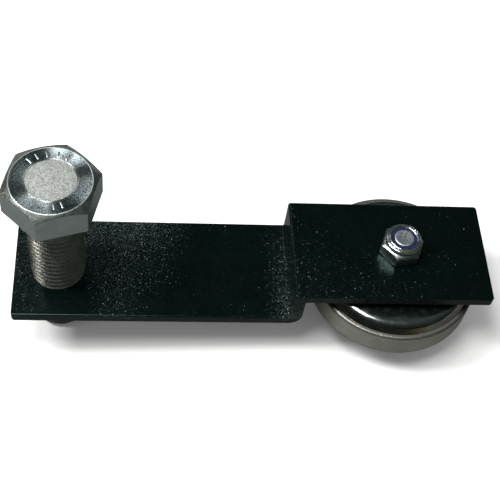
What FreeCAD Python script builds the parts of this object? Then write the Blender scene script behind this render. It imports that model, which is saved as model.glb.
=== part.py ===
import FreeCAD, Part
import Sketcher
import math
import os

# Cam follower: a Z-bent flat-bar arm with a large threaded pivot bolt at its lower end and a
# ball-bearing roller under its upper end. Millimetres, +Z up, +X along the arm from the pivot to the
# roller. The origin is the centre of the roller: on its axis, at the middle of its tread.

doc = FreeCAD.newDocument("cam_follower")

# ---------------------------------------------------------------- driving dimensions
SIZES = {
    # arm: one bar, bent up and over, so that the roller end is higher than the pivot end
    "arm_width": 50,
    "arm_thickness": 5,
    "arm_top": 19,  # top of the roller end above the roller's centre
    "arm_step": 17.5,  # how much lower the pivot end is
    "pivot_distance": 150,  # from the roller's axis to the pivot bolt's axis
    "pivot_end_margin": 19,
    "roller_end_margin": 39,
    "riser_distance": 48.2,  # from the roller's axis to the far face of the riser
    "bend_outside": 6,
    "bend_inside": 1,
    "step_edge_round": 1.2,
    "corner_round": 1.5,
    "edge_round": 0.6,
    "pivot_hole": 12.05,
    "axle_hole": 5.25,
    # pivot bolt, M24 x 80, threaded to the head
    "pivot_radius": 12,
    "pivot_length": 80,
    "pivot_stand": 47.5,  # clear thread between the arm and the head
    "pivot_flats": 36,
    "pivot_hex_height": 14.2,
    "pivot_face_height": 0.8,
    "pivot_face_radius": 16.8,
    "pivot_turn": 15.8,  # a corner of the hexagon, degrees from +X
    "pivot_tip_chamfer": 1.8,
    # axle bolt, M10 x 45, with its washer and spacers
    "axle_radius": 5,
    "axle_thread": 4.5,
    "axle_thread_length": 11,
    "axle_length": 45,
    "axle_flats": 17,
    "axle_head_height": 6.4,
    "axle_face_radius": 8.1,
    "axle_tip_chamfer": 0.5,
    "washer_radius": 10,
    "washer_thickness": 2,
    "spacer_radius": 7,
    "spacer_bore": 5.05,
    "spacer_length": 9.5,
    # lock nut, M10 with a nylon ring
    "nut_flats": 17,
    "nut_hex_height": 6.6,
    "nut_height": 10,
    "nut_collar": 8,
    "nut_collar_round": 1.2,
    "nut_mouth": 5.9,
    "nut_seat": 6.8,
    "nut_turn": 9.6,
    "insert_height": 2.4,
    "insert_recess": 0.5,
    # roller
    "roller_radius": 38,
    "tread_width": 13,
    "rim_inside": 33,
    "rim_seat": 36,
    "rim_seat_depth": 2,
    "rim_edge": 1.2,
    "dome_height": 10.8,  # outside of a side plate, from the roller's middle
    "dome_sheet": 2,
    "dome_slope": 58,  # how steeply a side plate runs down to the rim, in degrees
    "dome_shoulder": 4,  # outside radius of the bend between the flat and the slope
    "hub_radius": 18,
    "hub_shoulder": 13,
    "hub_chamfer": 0.6,
    # ball bearing, 10 x 30 x 9
    "bearing_bore": 5,
    "bearing_radius": 15,
    "bearing_width": 9,
    "bearing_chamfer": 0.6,
    "inner_land": 8.4,
    "outer_land": 12,
    "shield_seat": 12.9,
    "shield_seat_depth": 0.9,
    "shield_sheet": 0.4,
    "shield_bore": 8.8,
    "ball_radius": 2.381,
    "ball_circle": 10,
    "raceway_radius": 2.45,
    "cage_inside": 9.1,
    "cage_outside": 10.9,
    "cage_sheet": 0.5,
    "cage_pocket": 2.5,
    "rivet_radius": 0.4,
    "rivet_head_radius": 0.7,
    "rivet_head_height": 0.3,
    # retaining ring in the hub's bore
    "ring_groove": 15.7,
    "ring_inside": 13.2,
    "ring_thickness": 1.2,
    "ring_gap": 9,
    "ring_lug_radius": 2.2,
    "ring_lug_hole": 0.9,
}
BALLS = 8
NEAR = 1e-4  # how closely an edge has to sit where it is looked for

sheet = doc.addObject("Spreadsheet::Sheet", "Sizes")
for row, (alias, number) in enumerate(SIZES.items(), start=1):
    sheet.set(f"A{row}", alias)
    sheet.set(f"B{row}", str(number))
    sheet.setAlias(f"B{row}", alias)
doc.recompute()

subparts = []


# ---------------------------------------------------------------- building tools
def keep(shape_object, label):
    """Name a finished sub-part and put it on the list of pieces to write."""
    shape_object.Label = label
    subparts.append(shape_object)
    return shape_object


def primitive(kind, name, placement=None, **bindings):
    """A Part primitive whose sizes, and place if given, are expressions on the sheet."""
    solid = doc.addObject(f"Part::{kind}", name)
    for size, expression in bindings.items():
        solid.setExpression(size, expression)
    for coordinate, expression in (placement or {}).items():
        solid.setExpression(f".Placement.Base.{coordinate}", expression)
    return solid


def cut(name, base, tool):
    """The base with the tool taken away."""
    result = doc.addObject("Part::Cut", name)
    result.Base = base
    result.Tool = tool
    return result


def common(name, *pieces):
    """The space that all the pieces share."""
    result = doc.addObject("Part::MultiCommon", name)
    result.Shapes = list(pieces)
    return result


def fuse(name, *pieces):
    """The pieces joined into one solid."""
    result = doc.addObject("Part::MultiFuse", name)
    result.Shapes = list(pieces)
    result.Refine = True
    return result


def group(name, pieces):
    """Separate solids kept together as one sub-part."""
    result = doc.addObject("Part::Compound", name)
    result.Links = pieces
    return result


def tube(name, outside, inside, height, bottom):
    """A plain ring about the roller's axis."""
    at = {"z": bottom}
    outer = primitive("Cylinder", f"{name}_outer", at, Radius=outside, Height=height)
    inner = primitive("Cylinder", f"{name}_inner", at, Radius=inside, Height=height)
    return cut(name, outer, inner)


def new_body(name):
    return doc.addObject("PartDesign::Body", name)


def plane(body, role):
    """One of the body's own origin planes."""
    return next(f for f in body.Origin.OriginFeatures if f.Role == role)


def outline(body, name, role, corners):
    """A closed outline of straight lines. Each corner is a pair of expressions on the sheet."""
    sketch = body.newObject("Sketcher::SketchObject", name)
    sketch.AttachmentSupport = [(plane(body, role), "")]
    sketch.MapMode = "FlatFace"
    count = len(corners)
    # the lines start as a regular polygon, and the constraints carry each corner to its place
    start = [FreeCAD.Vector(math.cos(a), math.sin(a), 0) * count
             for a in (2 * math.pi * k / count for k in range(count))]
    for k in range(count):
        sketch.addGeometry(Part.LineSegment(start[k], start[(k + 1) % count]))
    for k in range(count):
        sketch.addConstraint(Sketcher.Constraint("Coincident", k, 2, (k + 1) % count, 1))
    for k, (across, along) in enumerate(corners):
        number = sketch.addConstraint(Sketcher.Constraint("DistanceX", k, 1, start[k].x))
        sketch.setExpression(f"Constraints[{number}]", across)
        number = sketch.addConstraint(Sketcher.Constraint("DistanceY", k, 1, start[k].y))
        sketch.setExpression(f"Constraints[{number}]", along)
    return sketch


def circle(body, name, role, radius, centre=("0", "0")):
    """A sketched circle: its radius and its centre are expressions on the sheet."""
    sketch = body.newObject("Sketcher::SketchObject", name)
    sketch.AttachmentSupport = [(plane(body, role), "")]
    sketch.MapMode = "FlatFace"
    sketch.addGeometry(Part.Circle(FreeCAD.Vector(0, 0, 0), FreeCAD.Vector(0, 0, 1), 1))
    for kind, value in zip(("DistanceX", "DistanceY"), centre):
        number = sketch.addConstraint(Sketcher.Constraint(kind, 0, 3, 0))
        sketch.setExpression(f"Constraints[{number}]", value)
    number = sketch.addConstraint(Sketcher.Constraint("Radius", 0, 1))
    sketch.setExpression(f"Constraints[{number}]", radius)
    return sketch


def revolved(name, corners):
    """A body turned about the roller's axis from corners of (radius, height)."""
    body = new_body(name)
    sketch = outline(body, f"{name}_section", "XZ_Plane", corners)
    turn = body.newObject("PartDesign::Revolution", f"{name}_turn")
    turn.Profile = sketch
    turn.ReferenceAxis = (sketch, ["V_Axis"])
    turn.Angle = 360
    sketch.Visibility = False
    doc.recompute()
    return body


def edges(body, test):
    """The names of the edges of a body's present shape that pass a test."""
    return [f"Edge{k}" for k, edge in enumerate(body.Shape.Edges, start=1) if test(edge)]


def dress(body, kind, name, test, size):
    """Fillet or chamfer the edges of a body that pass a test."""
    base = body.Tip
    chosen = edges(body, test)
    if not chosen:
        raise RuntimeError(f"{name}: no edge to work on")
    feature = body.newObject(f"PartDesign::{kind}", name)
    feature.Base = (base, chosen)
    feature.setExpression("Radius" if kind == "Fillet" else "Size", size)
    body.Tip = feature
    doc.recompute()
    return feature


def rim_at(radius, height):
    """A test for the full circle of one radius at one height."""
    def test(edge):
        curve = edge.Curve
        return (isinstance(curve, Part.Circle) and abs(curve.Radius - radius) < NEAR
                and abs(curve.Center.z - height) < NEAR)
    return test


def rotated(solid, degrees):
    """Turn a primitive about its own upright axis."""
    solid.setExpression(".Placement.Rotation.Angle", f"({degrees}) * 1 deg")
    return solid


def hexagon(name, at, flats, height, turn):
    """A hexagonal prism given by its width across flats."""
    prism = primitive("Prism", name, at, Circumradius=f"{flats} / sqrt(3)", Height=height)
    prism.Polygon = 6
    return rotated(prism, turn)


def corner_cone(name, at, narrow, height, upwards=True):
    """A 30 degree cone that takes the corners off one end of a hexagon."""
    wide = f"{narrow} + ({height}) * sqrt(3)"
    ends = (wide, narrow) if upwards else (narrow, wide)
    return primitive("Cone", name, at, Radius1=ends[0], Radius2=ends[1], Height=height)


# ---------------------------------------------------------------- arm
def make_arm():
    """The flat bar: a side view padded across its width, drilled twice, with its edges rounded."""
    top = "Sizes.arm_top"
    step_top = "Sizes.arm_top - Sizes.arm_step"
    left = "-Sizes.pivot_distance - Sizes.pivot_end_margin"
    right = "Sizes.roller_end_margin"
    far_face = "-Sizes.riser_distance"
    near_face = "-Sizes.riser_distance + Sizes.arm_thickness"
    body = new_body("ArmPlate")
    side_view = outline(body, "ArmSideView", "XZ_Plane", [
        (right, top),
        (far_face, top),
        (far_face, step_top),
        (left, step_top),
        (left, f"{step_top} - Sizes.arm_thickness"),
        (near_face, f"{step_top} - Sizes.arm_thickness"),
        (near_face, f"{top} - Sizes.arm_thickness"),
        (right, f"{top} - Sizes.arm_thickness"),
    ])
    pad = body.newObject("PartDesign::Pad", "ArmWidth")
    pad.Profile = side_view
    pad.SideType = "Symmetric"
    pad.setExpression("Length", "Sizes.arm_width")
    side_view.Visibility = False
    doc.recompute()

    holes = {
        "PivotHole": ("Sizes.pivot_hole", ("-Sizes.pivot_distance", "0")),
        "AxleHole": ("Sizes.axle_hole", ("0", "0")),
    }
    for name, (radius, centre) in holes.items():
        before = body.Shape.Volume
        mouth = circle(body, f"{name}Mouth", "XY_Plane", radius, centre)
        pocket = body.newObject("PartDesign::Pocket", name)
        pocket.Profile = mouth
        pocket.Type = "ThroughAll"
        pocket.SideType = "Symmetric"
        mouth.Visibility = False
        doc.recompute()
        if body.Shape.Volume >= before:
            raise RuntimeError(f"{name} cuts nothing")

    def across(x, z):
        """A test for the edge that runs across the bar at one place of the side view."""
        def test(edge):
            middle = edge.CenterOfMass
            straight = isinstance(edge.Curve, Part.Line) and abs(edge.Curve.Direction.y) > 0.99
            return straight and abs(middle.x - x) < NEAR and abs(middle.z - z) < NEAR
        return test

    far_x = -SIZES["riser_distance"]
    near_x = far_x + SIZES["arm_thickness"]
    step_z = SIZES["arm_top"] - SIZES["arm_step"]
    bends = {
        "StepEdge": (far_x, SIZES["arm_top"], "Sizes.step_edge_round"),
        "LowerBendInside": (far_x, step_z, "Sizes.bend_inside"),
        "LowerBendOutside": (near_x, step_z - SIZES["arm_thickness"], "Sizes.bend_outside"),
        "UpperBendInside": (near_x, SIZES["arm_top"] - SIZES["arm_thickness"], "Sizes.bend_inside"),
    }
    for name, (x, z, radius) in bends.items():
        dress(body, "Fillet", name, across(x, z), radius)

    def end_corner(edge):
        upright = isinstance(edge.Curve, Part.Line) and abs(edge.Curve.Direction.z) > 0.99
        short = edge.Length < SIZES["arm_thickness"] + NEAR
        return upright and short and abs(abs(edge.CenterOfMass.y) - SIZES["arm_width"] / 2) < NEAR

    dress(body, "Fillet", "EndCorners", end_corner, "Sizes.corner_round")

    def on_outline(edge):
        """The long top and bottom edges: all the edges of the two sides and the two ends."""
        box = edge.BoundBox
        half = SIZES["arm_width"] / 2
        on_side = box.YLength < NEAR and abs(abs(box.YMin) - half) < NEAR
        upright = box.ZLength > SIZES["arm_thickness"] - NEAR and box.XLength < NEAR
        ends = (-SIZES["pivot_distance"] - SIZES["pivot_end_margin"], SIZES["roller_end_margin"])
        level = box.ZLength < NEAR
        on_end = level and any(abs(x - end) < NEAR for x in (box.XMin, box.XMax) for end in ends)
        whole_side = on_side and not (upright and abs(box.XMin) > SIZES["riser_distance"])
        return whole_side or on_end

    dress(body, "Fillet", "OutlineEdges", on_outline, "Sizes.edge_round")
    keep(body, "arm_plate")


# ---------------------------------------------------------------- bolts, nut, washer, spacers
def make_pivot_bolt():
    """The big bolt: hexagon head with a washer face, and thread all the way to it."""
    at = "-Sizes.pivot_distance"
    under_head = "Sizes.arm_top - Sizes.arm_step + Sizes.pivot_stand"
    hex_bottom = f"{under_head} + Sizes.pivot_face_height"
    tip = f"{under_head} - Sizes.pivot_length"
    hex_place = {"x": at, "z": hex_bottom}
    head = common(
        "PivotHead",
        hexagon("PivotHex", hex_place, "Sizes.pivot_flats", "Sizes.pivot_hex_height",
                "Sizes.pivot_turn"),
        corner_cone("PivotHexCorners", hex_place, "Sizes.pivot_face_radius",
                    "Sizes.pivot_hex_height"),
    )
    face = primitive("Cylinder", "PivotWasherFace", {"x": at, "z": under_head},
                     Radius="Sizes.pivot_face_radius", Height="Sizes.pivot_face_height")
    shank = primitive("Cylinder", "PivotShank", {"x": at, "z": f"{tip} + Sizes.pivot_tip_chamfer"},
                      Radius="Sizes.pivot_radius",
                      Height="Sizes.pivot_length - Sizes.pivot_tip_chamfer")
    point = primitive("Cone", "PivotTip", {"x": at, "z": tip},
                      Radius1="Sizes.pivot_radius - Sizes.pivot_tip_chamfer",
                      Radius2="Sizes.pivot_radius", Height="Sizes.pivot_tip_chamfer")
    keep(fuse("PivotBolt", head, face, shank, point), "pivot_bolt")


def make_axle():
    """The roller's bolt, and the washer and the two spacers that it clamps."""
    half_bearing = "Sizes.bearing_width / 2"
    washer_top = f"-{half_bearing} - Sizes.spacer_length"
    under_head = f"{washer_top} - Sizes.washer_thickness"
    end = f"{under_head} + Sizes.axle_length"
    head_place = {"z": f"{under_head} - Sizes.axle_head_height"}
    head = common(
        "AxleHead",
        hexagon("AxleHex", head_place, "Sizes.axle_flats", "Sizes.axle_head_height", "0"),
        corner_cone("AxleHexCorners", head_place, "Sizes.axle_face_radius",
                    "Sizes.axle_head_height", upwards=False),
    )
    shank = primitive("Cylinder", "AxleShank", {"z": under_head}, Radius="Sizes.axle_radius",
                      Height="Sizes.axle_length - Sizes.axle_thread_length")
    thread = primitive("Cylinder", "AxleThread", {"z": f"{end} - Sizes.axle_thread_length"},
                       Radius="Sizes.axle_thread",
                       Height="Sizes.axle_thread_length - Sizes.axle_tip_chamfer")
    point = primitive("Cone", "AxleTip", {"z": f"{end} - Sizes.axle_tip_chamfer"},
                      Radius1="Sizes.axle_thread",
                      Radius2="Sizes.axle_thread - Sizes.axle_tip_chamfer",
                      Height="Sizes.axle_tip_chamfer")
    keep(fuse("AxleBolt", head, shank, thread, point), "axle_bolt")

    keep(tube("AxleWasher", "Sizes.washer_radius", "Sizes.axle_hole", "Sizes.washer_thickness",
              under_head), "axle_washer")
    for name, bottom in (("upper", half_bearing), ("lower", washer_top)):
        keep(tube(f"Spacer_{name}", "Sizes.spacer_radius", "Sizes.spacer_bore",
                  "Sizes.spacer_length", bottom), f"spacer_{name}")


def make_lock_nut():
    """The nut: a hexagon with a collar above it, and a nylon ring held in the collar."""
    bottom = "Sizes.arm_top"
    top = f"{bottom} + Sizes.nut_height"
    place = {"z": bottom}
    hexagon_part = common(
        "NutHexPart",
        hexagon("NutHex", place, "Sizes.nut_flats", "Sizes.nut_hex_height", "Sizes.nut_turn"),
        corner_cone("NutTopCorners", place, "Sizes.nut_collar", "Sizes.nut_hex_height"),
        corner_cone("NutBottomCorners", place, "Sizes.nut_flats / 2", "Sizes.nut_hex_height",
                    upwards=False),
    )
    collar = revolved("NutCollar", [
        ("Sizes.axle_thread", bottom),
        ("Sizes.nut_collar", bottom),
        ("Sizes.nut_collar", top),
        ("Sizes.nut_mouth", top),
        ("Sizes.nut_mouth", f"{top} - Sizes.insert_recess"),
        ("Sizes.axle_thread", f"{top} - Sizes.insert_recess"),
    ])
    nut_top = SIZES["arm_top"] + SIZES["nut_height"]
    dress(collar, "Fillet", "NutCollarEdge", rim_at(SIZES["nut_collar"], nut_top),
          "Sizes.nut_collar_round")
    insert_bottom = f"{top} - Sizes.insert_recess - Sizes.insert_height"
    solid = fuse("NutSolid", hexagon_part, collar)
    bore = primitive("Cylinder", "NutBore", place, Radius="Sizes.axle_thread",
                     Height="Sizes.nut_height")
    seat = primitive("Cylinder", "NutSeat", {"z": insert_bottom}, Radius="Sizes.nut_seat",
                     Height="Sizes.insert_height")
    keep(cut("LockNut", solid, fuse("NutHollow", bore, seat)), "lock_nut")
    keep(tube("LockNutInsert", "Sizes.nut_seat", "Sizes.axle_thread", "Sizes.insert_height",
              insert_bottom), "lock_nut_insert")


# ---------------------------------------------------------------- roller
def make_roller():
    """The rim, the two dished side plates and the hub that carries the bearing."""
    half = "Sizes.tread_width / 2"
    seat = "Sizes.tread_width / 2 - Sizes.rim_seat_depth"
    rim = revolved("RollerRim", [
        ("Sizes.rim_inside", f"-({seat})"),
        ("Sizes.rim_seat", f"-({seat})"),
        ("Sizes.rim_seat", f"-{half}"),
        ("Sizes.roller_radius", f"-{half}"),
        ("Sizes.roller_radius", half),
        ("Sizes.rim_seat", half),
        ("Sizes.rim_seat", seat),
        ("Sizes.rim_inside", seat),
    ])
    half_tread = SIZES["tread_width"] / 2
    for name, height in (("RimEdgeTop", half_tread), ("RimEdgeBottom", -half_tread)):
        dress(rim, "Fillet", name, rim_at(SIZES["roller_radius"], height), "Sizes.rim_edge")
    keep(rim, "roller_rim")

    # each side plate: flat round the hub, bent over its shoulder, then a cone down to the rim
    skirt = "Sizes.rim_seat - Sizes.dome_sheet"
    bend = f"Sizes.rim_seat - (Sizes.dome_height - {half}) / tan(Sizes.dome_slope)"
    bend_inside = f"{bend} - Sizes.dome_sheet * tan(Sizes.dome_slope / 2)"
    skirt_top = (f"Sizes.dome_height - Sizes.dome_sheet"
                 f" - ({skirt} - ({bend_inside})) * tan(Sizes.dome_slope)")
    slope = math.radians(SIZES["dome_slope"])
    top = SIZES["dome_height"]
    bend_radius = SIZES["rim_seat"] - (top - half_tread) / math.tan(slope)
    bend_inside_radius = bend_radius - SIZES["dome_sheet"] * math.tan(slope / 2)

    for name, sign in (("upper", 1), ("lower", -1)):
        def height(expression, sign=sign):
            return f"{sign} * ({expression})"
        outside = height("Sizes.dome_height")
        inside = height("Sizes.dome_height - Sizes.dome_sheet")
        plate = revolved(f"SidePlate_{name}", [
            ("Sizes.hub_radius", outside),
            (bend, outside),
            ("Sizes.rim_seat", height(half)),
            ("Sizes.rim_seat", height(seat)),
            (skirt, height(seat)),
            (skirt, height(skirt_top)),
            (bend_inside, inside),
            ("Sizes.hub_radius", inside),
        ])
        dress(plate, "Fillet", f"DomeShoulder_{name}", rim_at(bend_radius, sign * top),
              "Sizes.dome_shoulder")
        dress(plate, "Fillet", f"DomeInside_{name}",
              rim_at(bend_inside_radius, sign * (top - SIZES["dome_sheet"])),
              "Sizes.dome_shoulder - Sizes.dome_sheet")
        keep(plate, f"side_plate_{name}")

    bearing_top = "Sizes.bearing_width / 2"
    groove_top = f"{bearing_top} + Sizes.ring_thickness"
    hub = revolved("RollerHub", [
        ("Sizes.hub_shoulder", "-Sizes.dome_height"),
        ("Sizes.hub_radius", "-Sizes.dome_height"),
        ("Sizes.hub_radius", "Sizes.dome_height"),
        ("Sizes.bearing_radius", "Sizes.dome_height"),
        ("Sizes.bearing_radius", groove_top),
        ("Sizes.ring_groove", groove_top),
        ("Sizes.ring_groove", bearing_top),
        ("Sizes.bearing_radius", bearing_top),
        ("Sizes.bearing_radius", f"-{bearing_top}"),
        ("Sizes.hub_shoulder", f"-{bearing_top}"),
    ])
    dress(hub, "Chamfer", "HubMouthTop", rim_at(SIZES["bearing_radius"], top), "Sizes.hub_chamfer")
    dress(hub, "Chamfer", "HubMouthBottom", rim_at(SIZES["hub_shoulder"], -top),
          "Sizes.hub_chamfer")
    keep(hub, "roller_hub")


def make_retaining_ring():
    """The snap ring: open on one side, with a lug and a plier hole at each end."""
    bottom = "Sizes.bearing_width / 2"
    place = {"z": bottom}
    ring = tube("SnapRingBand", "Sizes.ring_groove", "Sizes.ring_inside", "Sizes.ring_thickness",
                bottom)
    gap = primitive("Box", "SnapRingGap", {"y": "-Sizes.ring_gap / 2", "z": bottom},
                    Length="Sizes.ring_groove", Width="Sizes.ring_gap",
                    Height="Sizes.ring_thickness")
    lugs, holes = [], []
    for name, side in (("left", 1), ("right", -1)):
        lug_place = {
            "x": "Sizes.ring_inside - Sizes.ring_lug_radius / 2",
            "y": f"{side} * (Sizes.ring_gap + Sizes.ring_lug_radius) / 2",
            "z": bottom,
        }
        lugs.append(primitive("Cylinder", f"SnapRingLug_{name}", lug_place,
                              Radius="Sizes.ring_lug_radius", Height="Sizes.ring_thickness"))
        holes.append(primitive("Cylinder", f"SnapRingHole_{name}", lug_place,
                               Radius="Sizes.ring_lug_hole", Height="Sizes.ring_thickness"))
    groove_space = primitive("Cylinder", "SnapRingSpace", place, Radius="Sizes.ring_groove",
                             Height="Sizes.ring_thickness")
    solid = common("SnapRingSolid", fuse("SnapRingLugs", cut("SnapRingOpen", ring, gap), *lugs),
                   groove_space)
    keep(cut("RetainingRing", solid, group("SnapRingHoles", holes)), "retaining_ring")


# ---------------------------------------------------------------- ball bearing
def raceway(body, name):
    """Turn the ball track into a ring, and make sure that it did cut."""
    before = body.Shape.Volume
    track = circle(body, f"{name}Track", "XZ_Plane", "Sizes.raceway_radius",
                   ("Sizes.ball_circle", "0"))
    groove = body.newObject("PartDesign::Groove", name)
    groove.Profile = track
    groove.ReferenceAxis = (track, ["V_Axis"])
    groove.Angle = 360
    track.Visibility = False
    doc.recompute()
    if body.Shape.Volume >= before:
        raise RuntimeError(f"{name} cuts nothing")


def make_bearing_rings():
    half = "Sizes.bearing_width / 2"
    seat = f"{half} - Sizes.shield_seat_depth"
    inner = revolved("InnerRing", [
        ("Sizes.bearing_bore", f"-{half}"),
        ("Sizes.inner_land", f"-{half}"),
        ("Sizes.inner_land", half),
        ("Sizes.bearing_bore", half),
    ])
    outer = revolved("OuterRing", [
        ("Sizes.outer_land", f"-({seat})"),
        ("Sizes.shield_seat", f"-({seat})"),
        ("Sizes.shield_seat", f"-{half}"),
        ("Sizes.bearing_radius", f"-{half}"),
        ("Sizes.bearing_radius", half),
        ("Sizes.shield_seat", half),
        ("Sizes.shield_seat", seat),
        ("Sizes.outer_land", seat),
    ])
    half_width = SIZES["bearing_width"] / 2
    for name, ring, radius in (("Inner", inner, SIZES["bearing_bore"]),
                               ("Outer", outer, SIZES["bearing_radius"])):
        raceway(ring, f"{name}Raceway")
        for end, height in (("Top", half_width), ("Bottom", -half_width)):
            dress(ring, "Chamfer", f"{name}Edge{end}", rim_at(radius, height),
                  "Sizes.bearing_chamfer")
        keep(ring, f"bearing_{name.lower()}_ring")


def make_shields():
    """Two pressed steel shields, snapped into the outer ring, clear of the inner one."""
    seat = "Sizes.bearing_width / 2 - Sizes.shield_seat_depth"
    for name, sign in (("upper", 1), ("lower", -1)):
        def height(steps, sign=sign):
            return f"{sign} * ({seat} + {steps} * Sizes.shield_sheet)"
        step = "Sizes.outer_land"
        shield = revolved(f"Shield_{name}", [
            ("Sizes.shield_bore", height(0.5)),
            (f"{step} - Sizes.shield_sheet", height(0.5)),
            (f"{step} - Sizes.shield_sheet", height(0)),
            ("Sizes.shield_seat", height(0)),
            ("Sizes.shield_seat", height(1)),
            (step, height(1)),
            (step, height(1.5)),
            ("Sizes.shield_bore", height(1.5)),
        ])
        keep(shield, f"bearing_shield_{name}")


def around(number, half_step=False):
    """The place of one of the balls, or of a rivet between two balls, on the ball circle."""
    angle = f"{360 / BALLS} deg * {number + 0.5 if half_step else number}"
    return {"x": f"Sizes.ball_circle * cos({angle})", "y": f"Sizes.ball_circle * sin({angle})"}


def ring_of_spheres(name, radius):
    return [primitive("Sphere", f"{name}{k}", around(k), Radius=radius) for k in range(BALLS)]


def ring_of_pins(name, radius, height, bottom):
    return [primitive("Cylinder", f"{name}{k}", {**around(k, half_step=True), "z": bottom},
                      Radius=radius, Height=height) for k in range(BALLS)]


def make_balls_and_cage():
    """The balls, and the two pressed halves of their cage, riveted together between the balls."""
    keep(group("Balls", ring_of_spheres("Ball", "Sizes.ball_radius")), "bearing_balls")

    outside_pocket = "Sizes.cage_pocket + Sizes.cage_sheet"
    for name, bottom, band_bottom in (("upper", "0", "0"),
                                      ("lower", f"-({outside_pocket})", "-Sizes.cage_sheet")):
        band = tube(f"CageBand_{name}", "Sizes.cage_outside", "Sizes.cage_inside",
                    "Sizes.cage_sheet", band_bottom)
        blank = fuse(f"CageBlank_{name}", band,
                     *ring_of_spheres(f"CageBulge_{name}", outside_pocket))
        room = tube(f"CageRoom_{name}", "Sizes.cage_outside", "Sizes.cage_inside",
                    outside_pocket, bottom)
        pockets = group(f"CagePockets_{name}",
                        ring_of_spheres(f"CagePocket_{name}", "Sizes.cage_pocket"))
        rivet_holes = group(f"CageHoles_{name}",
                            ring_of_pins(f"CageHole_{name}", "Sizes.rivet_radius",
                                         "Sizes.cage_sheet", band_bottom))
        pressed = cut(f"CagePressed_{name}", common(f"CageTrimmed_{name}", blank, room), pockets)
        keep(cut(f"Cage_{name}", pressed, rivet_holes), f"cage_{name}")

    sheet_and_head = "Sizes.cage_sheet + Sizes.rivet_head_height"
    shanks = ring_of_pins("RivetShank", "Sizes.rivet_radius", f"2 * ({sheet_and_head})",
                          f"-({sheet_and_head})")
    tops = ring_of_pins("RivetTop", "Sizes.rivet_head_radius", "Sizes.rivet_head_height",
                        "Sizes.cage_sheet")
    bottoms = ring_of_pins("RivetBottom", "Sizes.rivet_head_radius", "Sizes.rivet_head_height",
                           f"-({sheet_and_head})")
    rivets = [fuse(f"Rivet{k}", *pieces) for k, pieces in enumerate(zip(shanks, tops, bottoms))]
    keep(group("CageRivets", rivets), "cage_rivets")


# ---------------------------------------------------------------- build, check and write
make_arm()
make_pivot_bolt()
make_axle()
make_lock_nut()
make_roller()
make_retaining_ring()
make_bearing_rings()
make_shields()
make_balls_and_cage()
doc.recompute()

for item in doc.Objects:
    if "Invalid" in item.State or "Error" in item.State:
        raise RuntimeError(f"{item.Name} failed: {item.State}")
os.makedirs("parts", exist_ok=True)
for piece in subparts:
    shape = piece.Shape
    if shape.isNull() or not shape.isValid() or not shape.Solids:
        raise RuntimeError(f"{piece.Label} is not a valid solid")
    shape.exportStep(f"parts/{piece.Label}.step")
    box = shape.BoundBox
    print(f"{piece.Label:22s} {len(shape.Solids)} solid(s) {shape.Volume:9.1f} mm3"
          f"  x {box.XMin:.2f}..{box.XMax:.2f}  y {box.YMin:.2f}..{box.YMax:.2f}"
          f"  z {box.ZMin:.2f}..{box.ZMax:.2f}")
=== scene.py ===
import math

import bmesh
import bpy
from mathutils import Matrix, Vector


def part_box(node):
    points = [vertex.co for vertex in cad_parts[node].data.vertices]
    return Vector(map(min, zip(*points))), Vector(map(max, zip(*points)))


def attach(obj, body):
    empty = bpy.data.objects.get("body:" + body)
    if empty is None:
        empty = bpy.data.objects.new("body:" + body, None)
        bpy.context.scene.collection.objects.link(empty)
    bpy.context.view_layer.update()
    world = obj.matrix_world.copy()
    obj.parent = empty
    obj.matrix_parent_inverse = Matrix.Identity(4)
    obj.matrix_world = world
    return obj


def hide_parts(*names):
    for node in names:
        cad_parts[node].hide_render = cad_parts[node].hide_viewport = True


# Looks for the cam follower: a black Z-bent arm, a large threaded pivot bolt and a roller on a ball
# bearing. Blender works in metres. Sizes below are in millimetres unless a comment says metres, and
# MM turns them into metres.

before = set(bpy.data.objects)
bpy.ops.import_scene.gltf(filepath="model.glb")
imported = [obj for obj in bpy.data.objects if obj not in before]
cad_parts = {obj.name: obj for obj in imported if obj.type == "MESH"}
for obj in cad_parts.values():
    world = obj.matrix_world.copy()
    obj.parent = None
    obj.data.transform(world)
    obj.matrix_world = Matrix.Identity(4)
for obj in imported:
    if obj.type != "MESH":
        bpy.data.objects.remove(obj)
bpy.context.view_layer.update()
MM = 0.001


def place(node):
    """A CAD node's box: its lowest and highest corners, and its centre, in millimetres."""
    low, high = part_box(node)
    return low / MM, high / MM, (low + high) / 2 / MM


# ---------------------------------------------------------------- meshes
SHARP = math.radians(38)    # edges that turn by more than this stay hard
WELD = 0.0005               # corners closer than this are one


def finished(name, mesh_data, body, slot_name, material, *nodes):
    """An object from a bmesh: smooth, with its hard edges kept, riding on a body and standing for
    CAD nodes."""
    bmesh.ops.remove_doubles(mesh_data, verts=mesh_data.verts, dist=WELD * MM)
    bmesh.ops.recalc_face_normals(mesh_data, faces=mesh_data.faces)
    for face in mesh_data.faces:
        face.smooth = True
    for edge in mesh_data.edges:
        edge.smooth = edge.calc_face_angle(math.pi) < SHARP
    mesh = bpy.data.meshes.new(name)
    mesh_data.to_mesh(mesh)
    mesh_data.free()
    mesh.materials.append(material)
    piece = bpy.data.objects.new(name, mesh)
    bpy.context.scene.collection.objects.link(piece)
    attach(piece, body)
    if nodes:
        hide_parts(*nodes)
    return piece


def value(size, angle):
    """A size that is either a number or a function of the angle."""
    return size(angle) if callable(size) else size


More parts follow.
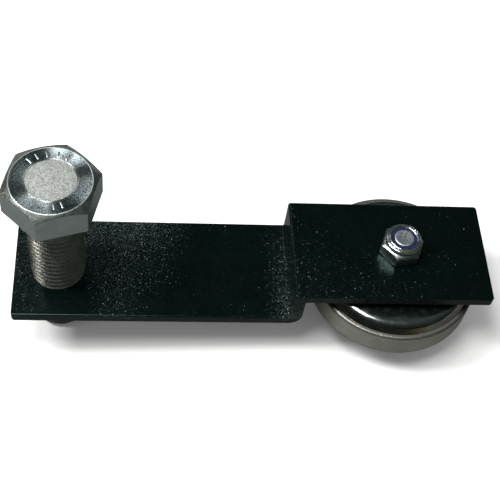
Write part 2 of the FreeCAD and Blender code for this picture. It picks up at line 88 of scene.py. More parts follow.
def add_turned(mesh_data, angles, rings, centre=(0, 0), closed=False):
    """Add a turned surface about an upright axis. Each ring is (radius, height), in millimetres,
    and either may depend on the angle. The ends are capped, or with closed the last ring joins
    the first."""
    loops = []
    for radius, height in rings:
        loop = []
        for angle in angles:
            r, z = value(radius, angle), value(height, angle)
            x, y = centre[0] + r * math.cos(angle), centre[1] + r * math.sin(angle)
            loop.append(mesh_data.verts.new(Vector((x, y, z)) * MM))
        loops.append(loop)
    count = len(angles)
    pairs = list(zip(loops, loops[1:]))
    if closed:
        pairs.append((loops[-1], loops[0]))
    for lower, upper in pairs:
        for k in range(count):
            after = (k + 1) % count
            mesh_data.faces.new((lower[k], lower[after], upper[after], upper[k]))
    if not closed:
        mesh_data.faces.new(loops[0][::-1])
        mesh_data.faces.new(loops[-1])


def hexagon_angles(turn, per_side=18):
    """Angles that are close together at a hexagon's corners."""
    side = math.pi / 3
    return [turn + side * (corner + (1 - math.cos(math.pi * k / per_side)) / 2)
            for corner in range(6) for k in range(per_side)]


def hexagon_radius(flats, turn, corner_round):
    """The distance to a hexagon's side as a function of the angle, with its corners slightly
    rounded."""
    half = flats / 2
    middle = (half - corner_round) / math.cos(math.pi / 6)
    reach = math.atan2(corner_round / 2, middle + corner_round * math.cos(math.pi / 6))

    def radius(angle):
        off_corner = (angle - turn + math.pi / 6) % (math.pi / 3) - math.pi / 6
        if abs(off_corner) < reach:
            rise = corner_round ** 2 - (middle * math.sin(off_corner)) ** 2
            return middle * math.cos(off_corner) + math.sqrt(rise)
        return half / math.cos(math.pi / 6 - abs(off_corner))
    return radius


# ---------------------------------------------------------------- materials
class Finish:
    """A material and short ways to wire its nodes. Its patterns are laid out in millimetres."""

    def __init__(self, name, colour, metallic, roughness):
        self.material = bpy.data.materials.new(name)
        self.material.use_nodes = True
        self.tree = self.material.node_tree
        self.shader = self.tree.nodes["Principled BSDF"]
        self.set(self.shader, {"Base Color": (*colour, 1), "Metallic": metallic,
                               "Roughness": roughness})
        where = self.tree.nodes.new("ShaderNodeTexCoord").outputs["Object"]
        self.where = self.node("ShaderNodeMapping", {"Vector": where, "Scale": (1 / MM,) * 3},
                               "Vector")
        self.normal = None

    def feed(self, socket, given):
        """Link a socket to another node's output, or give it a plain value."""
        if isinstance(given, bpy.types.NodeSocket):
            self.tree.links.new(given, socket)
        else:
            socket.default_value = given

    def set(self, node, inputs):
        """Feed a node's inputs by their names."""
        for name, given in inputs.items():
            self.feed(node.inputs[name], given)

    def node(self, kind, inputs, output=0, **settings):
        """Add a node and return one of its outputs."""
        made = self.tree.nodes.new(kind)
        for name, given in settings.items():
            setattr(made, name, given)
        self.set(made, inputs)
        return made.outputs[output]

    def stretched(self, scale, turn=(0, 0, 0)):
        """The pattern space, stretched and turned."""
        inputs = {"Vector": self.where, "Scale": scale, "Rotation": turn}
        return self.node("ShaderNodeMapping", inputs, "Vector")

    def noise(self, per_mm, detail=2.0, roughness=0.5, where=None, shift=0.0):
        """Cloudy noise from 0 to 1. A shift gives another pattern of the same kind."""
        inputs = {"Vector": where or self.where, "W": shift, "Scale": per_mm, "Detail": detail,
                  "Roughness": roughness}
        return self.node("ShaderNodeTexNoise", inputs, 0, noise_dimensions="4D")

    def cells(self, per_mm, shift=0.0):
        """Scattered spots: the distance to the nearest, and two random tones for each."""
        offset = {"Vector": self.where, "Location": (shift, shift, shift)}
        moved = self.node("ShaderNodeMapping", offset, "Vector")
        inputs = {"Vector": moved, "Scale": per_mm}
        distance = self.node("ShaderNodeTexVoronoi", inputs, "Distance")
        random = self.node("ShaderNodeTexVoronoi", inputs, "Color")
        return (distance, self.node("ShaderNodeSeparateColor", {"Color": random}, "Red"),
                self.node("ShaderNodeSeparateColor", {"Color": random}, "Green"))

    def ramp(self, source, start, end, low=0.0, high=1.0):
        """A smooth step: low where the source is at start, high where it is at end."""
        inputs = {"Value": source, "From Min": start, "From Max": end, "To Min": low,
                  "To Max": high}
        return self.node("ShaderNodeMapRange", inputs, 0, interpolation_type="SMOOTHSTEP")

    def maths(self, operation, first, second=0.0):
        made = self.tree.nodes.new("ShaderNodeMath")
        made.operation = operation
        for socket, given in zip(made.inputs, (first, second)):
            self.feed(socket, given)
        return made.outputs[0]

    def product(self, *factors):
        result = factors[0]
        for factor in factors[1:]:
            result = self.maths("MULTIPLY", result, factor)
        return result

    def sum(self, *terms):
        result = terms[0]
        for term in terms[1:]:
            result = self.maths("ADD", result, term)
        return result

    def mix(self, share, first, second):
        """A colour between two colours."""
        made = self.tree.nodes.new("ShaderNodeMix")
        made.data_type = "RGBA"
        colours = [socket for socket in made.inputs if socket.type == "RGBA"]
        self.feed(made.inputs[0], share)
        for socket, given in zip(colours, (first, second)):
            self.feed(socket, given if isinstance(given, bpy.types.NodeSocket) else (*given, 1))
        return next(socket for socket in made.outputs if socket.type == "RGBA")

    def bump(self, height, depth, strength=1.0):
        """Add relief of a depth in millimetres."""
        inputs = {"Height": height, "Strength": strength, "Distance": depth * MM}
        if self.normal is not None:
            inputs["Normal"] = self.normal
        self.normal = self.node("ShaderNodeBump", inputs)
        self.set(self.shader, {"Normal": self.normal})

    def paint(self, colour):
        self.set(self.shader, {"Base Color": colour})

    def polish(self, roughness):
        self.set(self.shader, {"Roughness": roughness})

    def along(self, axis):
        """One coordinate of the row frame, in millimetres."""
        return self.node("ShaderNodeSeparateXYZ", {"Vector": self.where}, axis)

    def away_from(self, x, y, reach, start):
        """A share that rises from 0 at start to 1 at reach, both measured from an upright line."""
        inputs = {"Vector": self.where, "Location": (-x, -y, 0), "Scale": (1, 1, 0)}
        flat = self.node("ShaderNodeMapping", inputs, "Vector")
        length = self.node("ShaderNodeVectorMath", {"Vector": flat}, "Value", operation="LENGTH")
        return self.ramp(length, start, reach)


def dust_and_glints_on_arm(coat):
    """How thickly pale specks lie on the arm: a trace of dust everywhere, and painted glints of
    the lights on the coat's texture round the bolt, in the corner of the step and at one end,
    with fewer in a painted shade just in front of the bolt. None lies on the underside of the
    lower part."""
    trace = 0.004    # the little that lies everywhere else
    x, y, z = (coat.along(axis) for axis in "XYZ")
    slanted = coat.sum(x, coat.product(y, -0.32))
    # Painted glints round the bolt, fading to the right, cut back in front of the bolt by a painted
    # shade.
    glints_round_bolt = coat.product(coat.ramp(slanted, -92, -132), coat.ramp(x, -172, -140, 0.35, 1),
                              coat.ramp(y, -26, 24, 0.35, 1), coat.away_from(-146, -17, 24, 8))
    # Painted glints along the bend of the step.
    glints_in_corner = coat.product(coat.ramp(x, -61, -48), coat.ramp(y, 28, -24, 0.15, 1), 0.7)
    on_lower = coat.product(coat.ramp(z, 8, 4), coat.ramp(z, -2, 1))
    lower = coat.product(on_lower, coat.sum(glints_round_bolt, glints_in_corner, trace))
    # Painted glints on the upper part, more towards one end.
    glints_towards_end = coat.ramp(coat.sum(x, coat.product(y, 1.5)), 0, -80, 0.0, 0.08)
    upper = coat.product(coat.ramp(z, 4, 8), coat.sum(glints_towards_end, trace))
    return coat.sum(lower, upper)


def arm_coat():
    """Black powder coat: a faint teal cast, orange peel, and pale specks in its texture, partly
    dust and partly painted glints of the lights.
    """
    coat = Finish("arm_coat", (0.0004, 0.0030, 0.0025), 0.0, 0.22)
    broad = coat.ramp(coat.noise(0.05, 3.0, 0.55), 0.3, 0.7)
    deep = coat.mix(broad, (0.0001, 0.0014, 0.0012), (0.0003, 0.0021, 0.0018))
    dust_and_glints = dust_and_glints_on_arm(coat)
    # Fine grain, lifted where the dust and painted glints lie: there it is a painted sheen.
    grain = coat.ramp(coat.noise(1.9, 2.0, 0.6, shift=4.0), 0.46, 0.72)
    colour = coat.mix(coat.product(grain, coat.sum(coat.product(dust_and_glints, 1.2), 0.08)), deep,
                      (0.024, 0.034, 0.034))
    # Specks in three sizes, part dust and part painted glints: cells in a millimetre, radius in
    # cells, brightness, pattern shift.
    speck_layers = ((0.9, 0.20, 1.0, 3.3), (1.6, 0.28, 0.7, 7.1), (2.5, 0.42, 0.35, 1.7))
    for per_mm, radius, brightness, shift in speck_layers:
        distance, chance, tone = coat.cells(per_mm, shift)
        spot = coat.ramp(distance, radius, radius * 0.6)
        lit = coat.maths("GREATER_THAN", chance, coat.sum(coat.product(dust_and_glints, -0.8), 0.996))
        bright = coat.product(tone, tone, brightness)
        colour = coat.mix(coat.product(spot, lit, bright), colour, (0.34, 0.385, 0.385))
    coat.paint(colour)
    coat.polish(coat.ramp(coat.noise(0.25, 3.0, shift=6.0), 0.3, 0.7, 0.19, 0.27))
    coat.set(coat.shader, {"Specular IOR Level": 0.32, "Specular Tint": (0.64, 0.96, 0.96, 1)})
    coat.bump(coat.noise(0.8, 2.0, 0.5, shift=1.0), 0.03, 0.4)
    coat.bump(coat.noise(2.4, 1.0, 0.5, shift=3.0), 0.015, 0.5)
    return coat.material


def thread_steel():
    """Steel of the big bolt's thread: warm, fairly smooth, with faint draw marks."""
    steel = Finish("thread_steel", (0.47, 0.46, 0.43), 1.0, 0.30)
    cloud = steel.ramp(steel.noise(0.16, 3.0), 0.3, 0.7)
    steel.paint(steel.mix(cloud, (0.34, 0.33, 0.285), (0.48, 0.465, 0.41)))
    steel.polish(steel.ramp(steel.noise(1.4, 2.0, shift=2.0), 0.3, 0.7, 0.18, 0.28))
    steel.bump(steel.noise(1.1, 3.0, 0.6, where=steel.stretched((1, 1, 4))), 0.008, 0.3)
    return steel.material


def head_side_steel():
    """Flats of the big bolt's head: cool, plain and satin."""
    steel = Finish("head_side_steel", (0.60, 0.64, 0.63), 1.0, 0.42)
    cloud = steel.ramp(steel.noise(0.2, 3.0), 0.3, 0.7)
    steel.paint(steel.mix(cloud, (0.44, 0.49, 0.49), (0.51, 0.565, 0.565)))
    steel.polish(steel.ramp(steel.noise(1.6, 2.0, shift=2.0), 0.3, 0.7, 0.34, 0.46))
    steel.bump(steel.noise(2.2, 3.0, 0.6, where=steel.stretched((1, 1, 0.2))), 0.012, 0.4)
    return steel.material


def head_chamfer_steel():
    """Cone that takes the head's corners off: cloudy grey, with bright nicks."""
    steel = Finish("head_chamfer_steel", (0.40, 0.42, 0.40), 1.0, 0.22)
    cloud = steel.ramp(steel.noise(0.3, 4.0, 0.6), 0.35, 0.65)
    base = steel.mix(cloud, (0.36, 0.40, 0.38), (0.58, 0.60, 0.54))
    distance, chance, _ = steel.cells(0.9)
    nicks = steel.product(steel.ramp(distance, 0.35, 0.15), steel.ramp(chance, 0.75, 0.95))
    steel.paint(steel.mix(nicks, base, (0.92, 0.92, 0.88)))
    steel.polish(steel.ramp(steel.noise(1.8, 3.0, 0.6, shift=5.0), 0.3, 0.7, 0.24, 0.38))
    steel.bump(steel.noise(0.9, 3.0, 0.6, shift=2.0), 0.02, 0.4)
    return steel.material


def head_ring_steel():
    """Turned ring on top of the big bolt's head: grimy, with a ragged pale inner edge."""
    steel = Finish("head_ring_steel", (0.50, 0.54, 0.54), 1.0, 0.28)
    grime = steel.ramp(steel.noise(1.2, 5.0, 0.8, shift=4.0), 0.44, 0.60)
    patches = steel.ramp(steel.noise(0.14, 3.0, 0.6, shift=1.0), 0.35, 0.65, 0.35, 1.0)
    turned = steel.mix(steel.product(grime, patches), (0.46, 0.53, 0.55), (0.06, 0.08, 0.085))
    axis = place("pivot_bolt")[2]
    outward = steel.away_from(axis.x, axis.y, 12.4, 10.2)
    ragged = steel.ramp(steel.sum(outward, steel.noise(0.45, 4.0, 0.7, shift=9.0)), 0.62, 0.95)
    steel.paint(steel.mix(ragged, (0.80, 0.82, 0.78), turned))
    steel.polish(steel.ramp(steel.noise(2.6, 3.0, 0.6, shift=8.0), 0.3, 0.7, 0.20, 0.34))
    tangent = steel.node("ShaderNodeTangent", {}, direction_type="RADIAL", axis="Z")
    steel.set(steel.shader, {"Anisotropic": 0.95, "Anisotropic Rotation": 0.25, "Tangent": tangent})
    steel.bump(steel.noise(1.2, 4.0, 0.7, shift=6.0), 0.015, 0.5)
    return steel.material


def head_middle_steel():
    """Middle of the big bolt's head: pale, forged, finely mottled."""
    steel = Finish("head_middle_steel", (0.72, 0.73, 0.69), 1.0, 0.44)
    mottle = steel.noise(1.8, 5.0, 0.85)
    pale = steel.mix(steel.ramp(mottle, 0.38, 0.60), (0.34, 0.36, 0.345), (0.86, 0.88, 0.84))
    axis = place("pivot_bolt")[2]
    edge = steel.product(steel.away_from(axis.x, axis.y, 11.0, 7.5),
                         steel.ramp(steel.noise(0.5, 3.0, 0.6, shift=3.0), 0.40, 0.60))
    steel.paint(steel.mix(edge, pale, (0.42, 0.46, 0.46)))
    steel.polish(steel.ramp(steel.noise(2.0, 3.0, 0.6, shift=5.0), 0.3, 0.7, 0.38, 0.52))
    steel.bump(mottle, 0.04, 0.5)
    return steel.material


def bright_zinc():
    """Bright plating on the small bolt, its washer and the lock nut's collar, slightly milky."""
    zinc = Finish("bright_zinc", (0.72, 0.76, 0.74), 1.0, 0.27)
    cloud = zinc.noise(0.6, 4.0, 0.6)
    zinc.paint(zinc.mix(zinc.ramp(cloud, 0.35, 0.65), (0.50, 0.54, 0.53), (0.76, 0.79, 0.76)))
    zinc.polish(zinc.ramp(zinc.noise(1.8, 2.0, shift=2.0), 0.3, 0.7, 0.14, 0.26))
    zinc.bump(zinc.noise(2.2, 3.0, 0.6, shift=7.0), 0.02, 0.4)
    return zinc.material


def shaded_zinc():
    """Flats and corners of the lock nut: the collar's plating, painted darker as a painted shade
    that also dims the light they cast onto the arm.
    """
    zinc = Finish("shaded_zinc", (0.34, 0.38, 0.37), 1.0, 0.3)
    cloud = zinc.ramp(zinc.noise(0.7, 4.0, 0.6), 0.35, 0.65)
    zinc.paint(zinc.mix(cloud, (0.20, 0.235, 0.23), (0.38, 0.41, 0.40)))
    zinc.polish(zinc.ramp(zinc.noise(1.6, 2.0, shift=2.0), 0.3, 0.7, 0.26, 0.38))
    zinc.bump(zinc.noise(1.8, 3.0, 0.6, shift=7.0), 0.02, 0.4)
    return zinc.material


def cut_end_zinc():
    """Sheared end of the small bolt: matt and grainy."""
    zinc = Finish("cut_end_zinc", (0.70, 0.74, 0.73), 1.0, 0.5)
    grains = zinc.noise(2.4, 4.0, 0.7)
    zinc.paint(zinc.mix(zinc.ramp(grains, 0.38, 0.62), (0.24, 0.27, 0.27), (0.56, 0.60, 0.59)))
    zinc.polish(zinc.ramp(zinc.noise(1.5, 2.0, shift=2.0), 0.3, 0.7, 0.42, 0.58))
    zinc.bump(grains, 0.04, 0.6)
    return zinc.material


def blue_nylon():
    """Locking ring of the nut."""
    nylon = Finish("blue_nylon", (0.004, 0.006, 0.05), 0.0, 0.38)
    cloud = nylon.ramp(nylon.noise(0.9, 3.0), 0.3, 0.7)
    nylon.paint(nylon.mix(cloud, (0.003, 0.005, 0.032), (0.008, 0.012, 0.075)))
    nylon.polish(nylon.ramp(nylon.noise(2.0, 2.0, shift=3.0), 0.3, 0.7, 0.30, 0.5))
    nylon.bump(nylon.noise(3.0, 2.0), 0.02, 0.4)
    return nylon.material


def polished_plate():
    """Pressed side plates: spun and polished, darker and brownish towards the rim, with hairlines.
    """
    steel = Finish("polished_plate", (0.56, 0.58, 0.57), 1.0, 0.16)
    near_rim = steel.away_from(0, 0, 35.5, 32.0)
    brownish_patches = steel.product(steel.ramp(steel.noise(0.12, 4.0, 0.65, shift=3.0), 0.40, 0.62), near_rim)
    cloud = steel.ramp(steel.noise(0.5, 4.0, 0.6, shift=5.0), 0.35, 0.65)
    inner_tone = steel.mix(cloud, (0.42, 0.46, 0.46), (0.54, 0.58, 0.58))
    slope = steel.mix(steel.product(near_rim, 0.75), inner_tone, (0.17, 0.165, 0.145))
    steel.paint(steel.mix(brownish_patches, slope, (0.24, 0.19, 0.13)))
    steel.polish(steel.ramp(steel.noise(0.35, 3.0, shift=1.0), 0.4, 0.75, 0.17, 0.25))
    lines = steel.stretched((0.05, 2.4, 1), (0, 0, 0.9))
    hairs = steel.noise(0.9, 2.0, 0.5, where=lines, shift=5.0)
    steel.bump(steel.ramp(hairs, 0.66, 0.72), 0.012, 0.5)
    steel.bump(steel.noise(1.6, 3.0, 0.6, shift=8.0), 0.006, 0.5)
    return steel.material


def ground_tread():
    """Ground outer ring: matt steel with pale specks; its edges are darker, a painted shade that
    mutes their highlight.
    """
    steel = Finish("ground_tread", (0.72, 0.70, 0.65), 1.0, 0.5)
    cloud = steel.ramp(steel.noise(0.12, 3.0), 0.3, 0.7)
    base = steel.mix(cloud, (0.56, 0.545, 0.49), (0.68, 0.665, 0.60))
    distance, chance, _ = steel.cells(0.9)
    specks = steel.product(steel.ramp(distance, 0.28, 0.15), steel.ramp(chance, 0.72, 0.95), 0.8)
    # Painted shade: the rounded edges are painted darker to mute the highlight on them.
    edge = steel.ramp(steel.maths("ABSOLUTE", steel.along("Z")), 4.9, 6.0)
    shaded_at_edges = steel.mix(edge, base, (0.24, 0.235, 0.215))
    steel.paint(steel.mix(specks, shaded_at_edges, (0.98, 0.97, 0.93)))
    steel.polish(steel.ramp(steel.noise(1.2, 3.0, shift=4.0), 0.3, 0.7, 0.44, 0.60))
    steel.bump(steel.noise(1.6, 2.0, 0.5, where=steel.stretched((1, 1, 6))), 0.02, 0.4)
    return steel.material


def plain_steel(name, light, dark, smooth, rough, grain=2.0):
    """Machined or pressed steel of the roller's inside, with cloudy tone and fine grain."""
    steel = Finish(name, light, 1.0, (smooth + rough) / 2)
    steel.paint(steel.mix(steel.ramp(steel.noise(0.3, 4.0, 0.6), 0.35, 0.7), light, dark))
    steel.polish(steel.ramp(steel.noise(1.1, 3.0, shift=2.0), 0.3, 0.7, smooth, rough))
    steel.bump(steel.noise(grain, 3.0, 0.6, shift=6.0), 0.02, 0.4)
    return steel.material


# ---------------------------------------------------------------- the pivot bolt
SAME_PLACE = 0.001    # corners of a thread's face that are closer than this count as one


def thread_rows():
    """One pitch of a coarse thread, up the axis: (share of the pitch, share of its depth)."""
    return [(0.0, 0.05), (0.03, 0.0), (0.095, 0.0), (0.125, 0.05), (0.30, 0.53), (0.475, 0.96),
            (0.52, 1.0), (0.605, 1.0), (0.65, 0.96), (0.825, 0.53)]


def add_threaded_shank(mesh_data, angles, centre, radius, depth, pitch, bottom, top, chamfer):
    """Add a shank with a right-hand helical thread. Its rows climb one pitch in each turn, so that
    the last column of a row meets the first column of the row one pitch higher."""
    section = thread_rows()
    rows = len(section)
    count = len(angles)
    total = rows * (math.ceil((top - bottom) / pitch) + 1)
    grid = []
    for row in range(total + 1):
        share, sunk = section[row % rows]
        line = []
        for k, angle in enumerate(angles):
            z = bottom + pitch * (row // rows + share - 1 + k / count)
            r = radius - depth * sunk
            r = min(r, radius - chamfer + max(z - bottom, 0))
            if z <= bottom or z >= top:
                r = radius - depth
            z = min(max(z, bottom), top)
            x, y = centre[0] + r * math.cos(angle), centre[1] + r * math.sin(angle)
            line.append(mesh_data.verts.new(Vector((x, y, z)) * MM))
        grid.append(line)
    for row in range(total):
        for k in range(count):
            if k + 1 < count:
                right, right_above = grid[row][k + 1], grid[row + 1][k + 1]
            else:
                right = grid[min(row + rows, total)][0]
                right_above = grid[min(row + 1 + rows, total)][0]
            corners = []
            for corner in (grid[row][k], right, right_above, grid[row + 1][k]):
                if all((corner.co - other.co).length > SAME_PLACE * MM for other in corners):
                    corners.append(corner)
            if len(corners) > 2:
                mesh_data.faces.new(corners)
    mesh_data.faces.new(grid[0][::-1])
    mesh_data.faces.new(grid[total])


def add_bar(mesh_data, centre, angle, start, end, width, bottom, top):
    """Add a raised radial bar with sloping sides, as stamped on a bolt's head."""
    along = Vector((math.cos(angle), math.sin(angle), 0))
    across = Vector((-along.y, along.x, 0))
    origin = Vector((*centre, 0))
    bevel, side_slope, top_inset = 0.08, 0.06, 0.2
    levels = []
    for height, inset in ((bottom, 0), (top - bevel, side_slope), (top, top_inset)):
        corners = [(start + inset, -width / 2 + inset), (end - inset, -width / 2 + inset),
                   (end - inset, width / 2 - inset), (start + inset, width / 2 - inset)]
        levels.append([mesh_data.verts.new((origin + along * r + across * w
                                            + Vector((0, 0, height))) * MM) for r, w in corners])
    for lower, upper in zip(levels, levels[1:]):
        for k in range(4):
            mesh_data.faces.new((lower[k], lower[(k + 1) % 4], upper[(k + 1) % 4], upper[k]))
    mesh_data.faces.new(levels[0][::-1])
    mesh_data.faces.new(levels[-1])


def assign(piece, materials, choose):
    """Add materials to a piece, and give each face the one whose number choose returns for the
    face's centre and normal. 0 is the material that the piece already has."""
    for material in materials:
        piece.data.materials.append(material)
    for face in piece.data.polygons:
        face.material_index = choose(face.center / MM, face.normal)


def make_pivot_bolt():
    """The big bolt: a helical thread, and a hexagon head with a turned ring and raised bars."""
    low, high, middle = place("pivot_bolt")
    centre = (middle.x, middle.y)
    turn = math.radians(15.8)
    radius, pitch, length = 12.0, 3.0, 80.0
    crest_gap, thread_depth, tip_chamfer = 0.05, 1.84, 1.8
    flats, face_radius, face_height, lip, forged_radius = 36.0, 16.8, 0.8, 0.07, 10.2
    mark_start, mark_end, mark_width, mark_height, mark_root = 11.4, 14.6, 0.8, 0.3, 0.5
    mark_degrees = (62, 80, 100, 118, 134, -68, -82)
    flatness = 0.01
    under_head = low.z + length
    top = high.z - mark_height
    side = hexagon_radius(flats, turn, 0.5)
    angles = hexagon_angles(turn)

    bolt = bmesh.new()
    add_threaded_shank(bolt, angles, centre, radius - crest_gap, thread_depth, pitch, low.z,
                       under_head + 1, tip_chamfer)

    def chamfer_foot(angle):
        return top - (side(angle) - face_radius) / math.sqrt(3)

    rings = [(face_radius - 0.3, under_head), (face_radius, under_head + 0.2),
             (face_radius, under_head + face_height),
             (lambda angle: side(angle) - 0.3, under_head + face_height),
             (side, under_head + face_height + 0.3),
             (side, lambda angle: chamfer_foot(angle) - 0.15),
             (lambda angle: side(angle) - 0.15, lambda angle: chamfer_foot(angle) + 0.06),
             (face_radius + 0.15, top - 0.1), (face_radius, top + lip * 0.6),
             (face_radius - 0.15, top + lip), (face_radius - 0.35, top + lip * 0.8),
             (face_radius - 0.5, top), (forged_radius, top)]
    add_turned(bolt, angles, rings, centre)
    for degrees in mark_degrees:
        add_bar(bolt, centre, math.radians(degrees), mark_start, mark_end, mark_width,
                top - mark_root, high.z)
    piece = finished("pivot_bolt_detail", bolt, "pivot_bolt", "pivot_steel", thread_steel(),
                     "pivot_bolt")

    def choose(at, normal):
        """0 thread, 1 flats, 2 chamfer, 3 turned ring, 4 forged middle."""
        off_axis = math.hypot(at.x - centre[0], at.y - centre[1])
        if at.z < under_head:
            return 0
        if normal.z > 0.5 and off_axis > face_radius:
            return 2
        if abs(at.z - top) < flatness and off_axis < face_radius - 0.4:
            return 4 if off_axis < forged_radius else 3
        return 1

    finishes = [head_side_steel(), head_chamfer_steel(), head_ring_steel(), head_middle_steel()]
    assign(piece, finishes, choose)


# ---------------------------------------------------------------- the axle bolt and its lock nut
def make_axle_bolt():
    """The roller's bolt: its thread and cut end show inside the nut, its head below the roller."""
    low, high, middle = place("axle_bolt")
    centre = (middle.x, middle.y)
    flats, head_height, circle = 17.0, 6.4, 8.1
    shank, thread, pitch, thread_length, thread_depth = 4.98, 4.5, 1.5, 11.0, 0.45
    side = hexagon_radius(flats, 0.0, 0.25)
    slope = 1 / math.sqrt(3)

    def lower_foot(angle):
        return low.z + (side(angle) - circle) * slope

    angles = hexagon_angles(0.0, 12)
    bolt = bmesh.new()
    neck = high.z - thread_length
    rings = [(circle - 1.2, low.z + 0.12), (circle - 0.4, low.z), (circle - 0.1, low.z + 0.05),
             (lambda angle: side(angle) - 0.1, lambda angle: lower_foot(angle) - 0.03),
             (side, lambda angle: lower_foot(angle) + 0.1), (side, low.z + head_height - 0.3),
             (lambda angle: side(angle) - 0.3, low.z + head_height - 0.02),
             (shank + 0.4, low.z + head_height - 0.02), (shank, low.z + head_height + 0.3),
             (shank, neck - 0.5), (thread - 0.2, neck)]
    add_turned(bolt, angles, rings, centre)
    add_threaded_shank(bolt, angles, centre, thread, thread_depth, pitch, neck - 0.5, high.z - 0.5,
                       0.0)
    add_turned(bolt, angles, [(thread - 0.35, high.z - 0.6), (thread - 0.1, high.z - 0.5),
                              (thread - 0.12, high.z - 0.25), (thread - 0.4, high.z - 0.05),
                              (thread - 0.7, high.z), (thread - 1.1, high.z - 0.06)], centre)
    piece = finished("axle_bolt_detail", bolt, "arm", "zinc", bright_zinc(), "axle_bolt")
    assign(piece, [cut_end_zinc()], lambda at, normal: int(at.z > high.z - 0.2))


def make_lock_nut():
    """The lock nut: a hexagon with a rolled collar that holds the nylon ring. It is on the row's
    own axis, so it needs no centre."""
    low, high, _ = place("lock_nut")
    turn = math.radians(9.6)
    flats, hex_top, circle, collar, bore = 17.0, low.z + 6.6, 8.1, 8.0, 4.6
    insert_radius, insert_height, mouth, recess = 6.8, 2.4, 5.5, 0.5
    side = hexagon_radius(flats, turn, 0.25)
    slope = 1 / math.sqrt(3)

    def upper_foot(angle):
        return hex_top - (side(angle) - circle) * slope

    def lower_foot(angle):
        return low.z + (side(angle) - circle) * slope

    rings = [(bore, low.z + 0.4), (bore + 0.4, low.z), (circle, low.z), (side, lower_foot),
             (side, lambda angle: upper_foot(angle) - 0.08),
             (lambda angle: side(angle) - 0.08, lambda angle: upper_foot(angle) + 0.04),
             (circle, hex_top), (collar - 0.15, hex_top + 0.15), (collar - 0.15, hex_top + 0.4),
             (collar - 0.02, hex_top + 0.6), (collar - 0.02, high.z - 1.6)]
    # The collar's rolled edge: how far in from its outside, and how far down from its top.
    crimp = [(0.06, 1.2), (0.3, 0.88), (0.65, 0.74), (0.88, 0.8), (1.0, 0.95), (1.1, 0.7),
             (1.2, 0.3), (1.45, 0.06), (1.8, 0.0), (2.15, 0.1), (2.4, 0.3),
             (collar - mouth, recess - 0.02)]
    rings += [(collar - inward, high.z - down) for inward, down in crimp]
    rings += [(insert_radius, high.z - recess), (insert_radius, high.z - recess - insert_height),
              (bore, high.z - recess - insert_height)]
    nut = bmesh.new()
    add_turned(nut, hexagon_angles(turn, 14), rings, closed=True)
    zinc = bpy.data.materials["bright_zinc"]
    piece = finished("lock_nut_detail", nut, "arm", "zinc", zinc, "lock_nut")
    # The hexagon takes the darker zinc: painted shade on its flats and corners.
    assign(piece, [shaded_zinc()], lambda at, normal: int(at.z < hex_top - 0.02))


# ---------------------------------------------------------------- carried-over CAD nodes
def dress_cad_nodes():
    """Give every CAD node that stays its own finish."""
    zinc = bpy.data.materials["bright_zinc"]
    spacer = plain_steel("turned_steel", (0.50, 0.49, 0.46), (0.34, 0.32, 0.29), 0.24, 0.42)
    bearing = plain_steel("bearing_steel_ground", (0.60, 0.60, 0.58), (0.48, 0.47, 0.44), 0.10,
                          0.22)
    shield = plain_steel("shield_steel_pressed", (0.46, 0.46, 0.44), (0.30, 0.28, 0.25), 0.25, 0.45)
    cage = plain_steel("cage_steel_pressed", (0.42, 0.41, 0.38), (0.28, 0.26, 0.22), 0.3, 0.5)
    spring = plain_steel("spring_steel_black", (0.10, 0.095, 0.09), (0.05, 0.045, 0.04), 0.3, 0.5)
    polished = polished_plate()
    finishes = {
        "arm_plate": arm_coat(), "axle_washer": zinc, "lock_nut_insert": blue_nylon(),
        "spacer_upper": spacer, "spacer_lower": spacer, "roller_hub": spacer,
        "bearing_inner_ring": bearing, "bearing_outer_ring": bearing, "bearing_balls": bearing,
        "bearing_shield_upper": shield, "bearing_shield_lower": shield,
        "cage_upper": cage, "cage_lower": cage, "cage_rivets": cage, "retaining_ring": spring,
        "roller_rim": ground_tread(),
        "side_plate_upper": polished, "side_plate_lower": polished,
    }
    for node, material in finishes.items():
        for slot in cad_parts[node].material_slots:
            slot.material = material


# ---------------------------------------------------------------- studio
def floor_paper():
    """Pale paper. What steel reflects of it is darker, most of all close by, so that nothing washes
    out."""
    paper = Finish("floor_paper", (0.80, 0.80, 0.79), 0.0, 0.9)
    cloud = paper.ramp(paper.noise(0.01, 3.0), 0.3, 0.7)
    pale = paper.mix(cloud, (0.79, 0.79, 0.785), (0.82, 0.82, 0.81))
    dim = paper.mix(paper.away_from(0, 0, 800, 250), (0.10, 0.105, 0.10), (0.42, 0.41, 0.38))
    mirrored = paper.node("ShaderNodeLightPath", {}, "Is Glossy Ray")
    paper.paint(paper.mix(mirrored, pale, dim))
    return paper.material


def make_floor():
    """A pale floor that the bolt's end and the axle bolt's head both stand on."""
    bolt_low, _, bolt_middle = place("pivot_bolt")
    axle_low, _, axle_middle = place("axle_bolt")
    tip_radius, head_radius = 10.2, 8.1
    rise = axle_low.z - bolt_low.z
    run = (axle_middle.x + head_radius) - (bolt_middle.x + tip_radius)
    slope = math.atan2(rise, run)
    half = 3.0    # metres
    corners = [(-half, -half), (half, -half), (half, half), (-half, half)]
    mesh = bpy.data.meshes.new("studio_floor")
    mesh.from_pydata([(x, y, 0) for x, y in corners], [], [(0, 1, 2, 3)])
    floor = bpy.data.objects.new("studio_floor", mesh)
    bpy.context.scene.collection.objects.link(floor)
    touch = Vector((bolt_middle.x + tip_radius, 0, bolt_low.z)) * MM
    floor.matrix_world = Matrix.Translation(touch) @ Matrix.Rotation(-slope, 4, "Y")
    mesh.materials.append(floor_paper())


def aim(thing, place_at, target):
    """Put a light at a place and turn it towards a target."""
    thing.location = place_at
    thing.rotation_euler = (target - place_at).to_track_quat("-Z", "Y").to_euler()


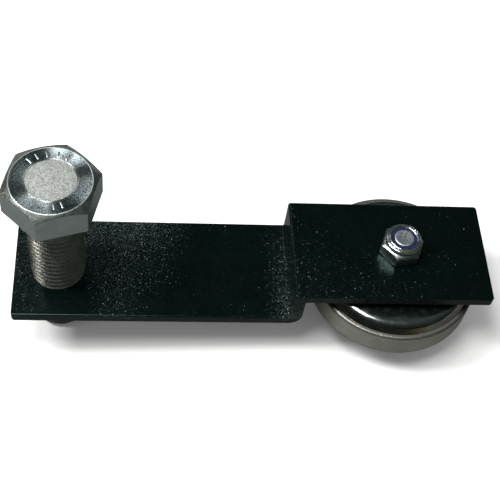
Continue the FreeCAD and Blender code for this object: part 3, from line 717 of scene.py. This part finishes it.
def add_softbox(name, azimuth, elevation, distance, width, height, watts):
    """A rectangular studio light, given by its direction from near the middle of the object. Its
    distance and size are in metres."""
    light = bpy.data.lights.new(name, "AREA")
    light.shape = "RECTANGLE"
    light.size, light.size_y = width, height
    light.energy = watts
    lamp = bpy.data.objects.new(name, light)
    bpy.context.scene.collection.objects.link(lamp)
    target = Vector((-0.06, 0, 0.01))
    az, el = math.radians(azimuth), math.radians(elevation)
    away = Vector((math.cos(az) * math.cos(el), math.sin(az) * math.cos(el), math.sin(el)))
    aim(lamp, target + away * distance, target)
    lamp.visible_camera = False


def make_lights():
    """A soft light overhead, one from the left, a weak one from behind, and the room."""
    add_softbox("softbox_overhead", -155, 72, 0.9, 0.34, 0.24, 6)
    add_softbox("softbox_left", 179, 50, 0.9, 0.20, 0.30, 6.5)
    add_softbox("softbox_back", 122, 42, 1.1, 0.28, 0.24, 0.45)
    make_room()


def make_room():
    """A pale backdrop and an even fill, while polished steel mirrors a dim room that is darkest at
    the horizon."""
    world = bpy.data.worlds.new("room")
    bpy.context.scene.world = world
    world.use_nodes = True
    tree = world.node_tree

    def add(kind, **settings):
        made = tree.nodes.new(kind)
        for name, given in settings.items():
            setattr(made, name, given)
        return made

    def mixed(share, first, second):
        mixer = add("ShaderNodeMix", data_type="RGBA")
        colours = [socket for socket in mixer.inputs if socket.type == "RGBA"]
        for socket, given in zip(colours, (first, second)):
            if isinstance(given, bpy.types.NodeSocket):
                tree.links.new(given, socket)
            else:
                socket.default_value = (*given, 1)
        tree.links.new(share, mixer.inputs[0])
        return next(socket for socket in mixer.outputs if socket.type == "RGBA")

    direction = add("ShaderNodeTexCoord").outputs["Generated"]
    split = add("ShaderNodeSeparateXYZ")
    tree.links.new(direction, split.inputs[0])
    climb = add("ShaderNodeMapRange", interpolation_type="SMOOTHSTEP")
    tree.links.new(split.outputs["Z"], climb.inputs["Value"])
    for name, given in (("From Min", 0.0), ("From Max", 0.9)):
        climb.inputs[name].default_value = given
    mirrored = mixed(climb.outputs[0], (0.013, 0.020, 0.018), (0.045, 0.057, 0.053))
    rays = add("ShaderNodeLightPath").outputs
    lighting = mixed(rays["Is Diffuse Ray"], mirrored, (0.55, 0.55, 0.55))
    seen = mixed(rays["Is Camera Ray"], lighting, (0.90, 0.90, 0.89))
    tree.links.new(seen, tree.nodes["Background"].inputs["Color"])


def make_camera():
    """A camera that looks down on the object from the front left."""
    pitch, yaw, roll = (math.radians(angle) for angle in (55.656, 11.241, 10.368))
    distance, lens = 458.56, 75.85
    target = Vector((-66.87, -1.30, 19.0))
    reach = math.cos(pitch)
    forward = Vector((math.sin(yaw) * reach, math.cos(yaw) * reach, -math.sin(pitch)))
    level = Vector((math.cos(yaw), -math.sin(yaw), 0))
    above = level.cross(forward)
    right = level * math.cos(roll) + above * math.sin(roll)
    up = above * math.cos(roll) - level * math.sin(roll)
    data = bpy.data.cameras.new("camera")
    data.sensor_width = 36
    data.lens = lens
    data.clip_start = 0.01
    camera = bpy.data.objects.new("camera", data)
    bpy.context.scene.collection.objects.link(camera)
    turned = Matrix((right, up, -forward)).transposed().to_4x4()
    camera.matrix_world = Matrix.Translation((target - forward * distance) * MM) @ turned
    bpy.context.scene.camera = camera


make_camera()
make_pivot_bolt()
make_axle_bolt()
make_lock_nut()
dress_cad_nodes()
make_floor()
make_lights()
bpy.context.scene.view_settings.view_transform = "Standard"
